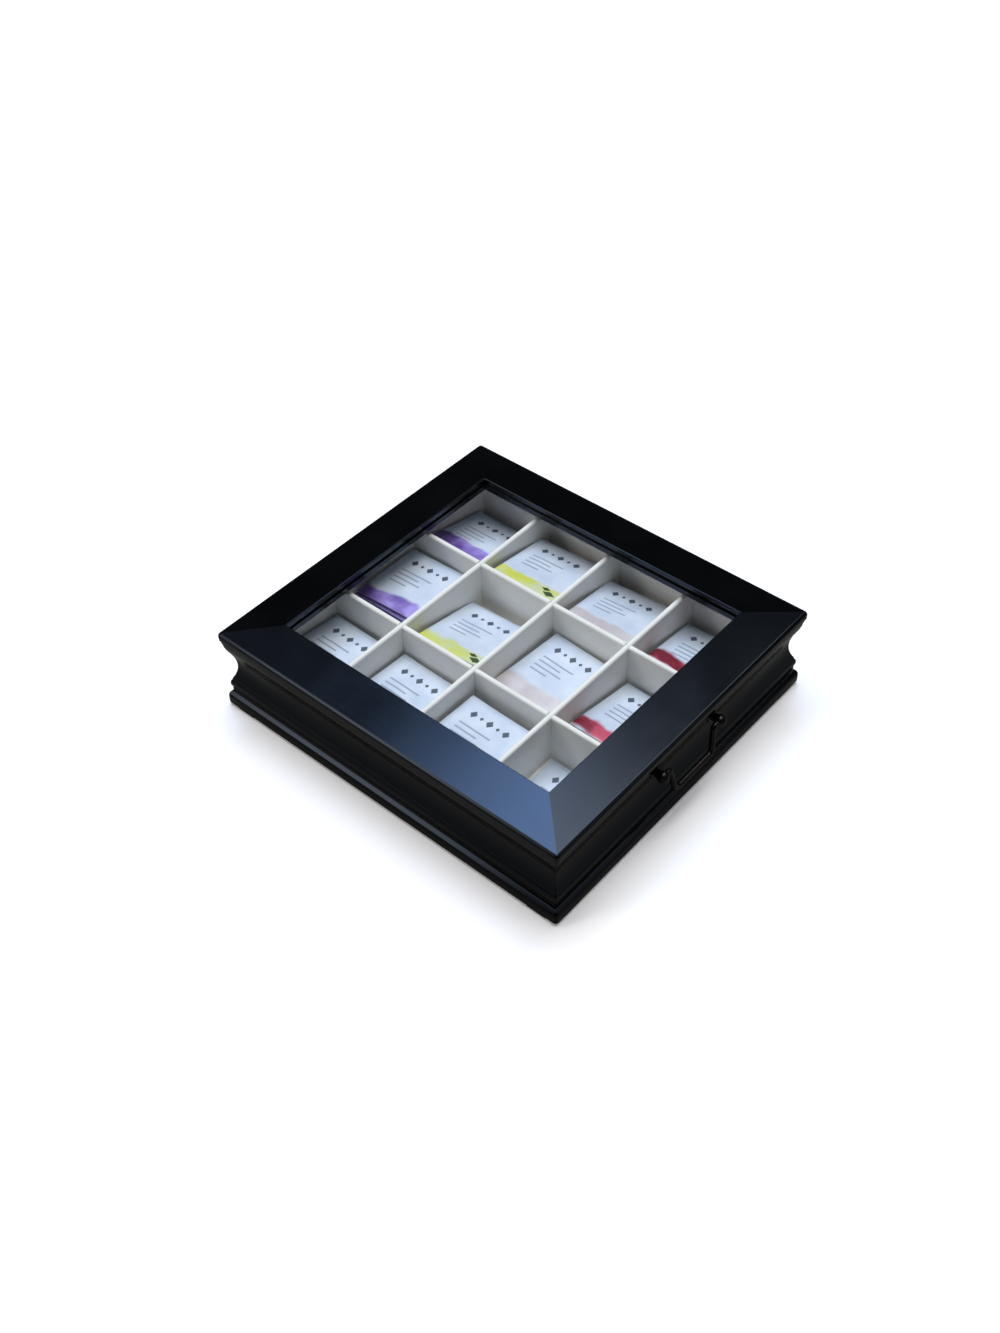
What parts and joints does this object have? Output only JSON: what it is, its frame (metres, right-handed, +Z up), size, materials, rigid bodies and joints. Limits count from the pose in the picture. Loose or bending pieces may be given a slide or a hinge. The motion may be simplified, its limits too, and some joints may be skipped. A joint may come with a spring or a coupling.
{
  "type": "tea bag drawer box",
  "caption": "Low moulded tabletop tea chest with a glazed sloping top frame and a drawer of compartments that pulls out by a drop bail handle.",
  "frame": {"origin": "on the surface that the feet stand on, under the middle of the case's footprint", "axes": "+Z up; the drawer pulls out along -Y; +X to the right as seen from the drawer front"},
  "size_m": [0.305, 0.3376, 0.0804],
  "materials": {
    "black_lacquer": "black satin lacquer on hardwood",
    "cream_paint": "cream matt paint on thin board",
    "glass": "clear float glass, polished",
    "plywood": "bare plywood",
    "hardwood": "bare beech",
    "dark_bronze": "dark oiled bronze",
    "steel": "zinc plated",
    "rubber": "matt black pad",
    "paper_white": "smooth printed paper, plain",
    "paper_purple": "smooth printed paper, purple band",
    "paper_green": "smooth printed paper, yellow-green band",
    "paper_red": "smooth printed paper, crimson band"
  },
  "bodies": {
    "case": {"foot_front_left": "rubber", "foot_front_right": "rubber", "foot_back_left": "rubber", "foot_back_right": "rubber", "base_rail_front": "black_lacquer", "top_rail_front": "black_lacquer", "glass_bead_front": "black_lacquer", "base_rail_right": "black_lacquer", "top_rail_right": "black_lacquer", "glass_bead_right": "black_lacquer", "base_rail_back": "black_lacquer", "top_rail_back": "black_lacquer", "glass_bead_back": "black_lacquer", "base_rail_left": "black_lacquer", "top_rail_left": "black_lacquer", "glass_bead_left": "black_lacquer", "base_panel": "plywood", "case_wall_left": "black_lacquer", "case_wall_right": "black_lacquer", "case_wall_back": "black_lacquer", "base_tongues": "hardwood", "frame_tongues": "hardwood", "frame_splines": "hardwood", "wall_splines": "hardwood", "glass_pane": "glass", "glass_brads": "steel", "drawer_stop": "black_lacquer"},
    "drawer": {"drawer_front": "black_lacquer", "tray_front": "cream_paint", "tray_back": "cream_paint", "tray_left": "cream_paint", "tray_right": "cream_paint", "tray_bottom": "cream_paint", "divider_long_left": "cream_paint", "divider_long_right": "cream_paint", "divider_cross_1": "cream_paint", "divider_cross_2": "cream_paint", "divider_cross_3": "cream_paint", "handle_posts": "dark_bronze", "handle_nuts": "steel", "sachets_left_back": "paper_white", "sachets_left_mid_back": "paper_white", "sachets_left_mid_front": "paper_white", "sachets_left_front": "paper_white", "sachets_middle_back": "paper_purple", "sachets_middle_mid_back": "paper_green", "sachets_middle_mid_front": "paper_white", "sachets_middle_front": "paper_red", "sachets_right_back": "paper_purple", "sachets_right_mid_back": "paper_green", "sachets_right_mid_front": "paper_white", "sachets_right_front": "paper_red"},
    "bail": {"handle_bail": "dark_bronze"}
  },
  "joints": [
    {"name": "drawer_slide", "type": "slide", "parent": "case", "child": "drawer", "axis": [0, -1, 0], "range_m": [0, 0.278]},
    {"name": "bail_swing", "type": "hinge", "parent": "drawer", "child": "bail", "pos_m": [0, -0.1665, 0.054], "axis": [-1, 0, 0], "range_deg": [-8, 150]}
  ]
}
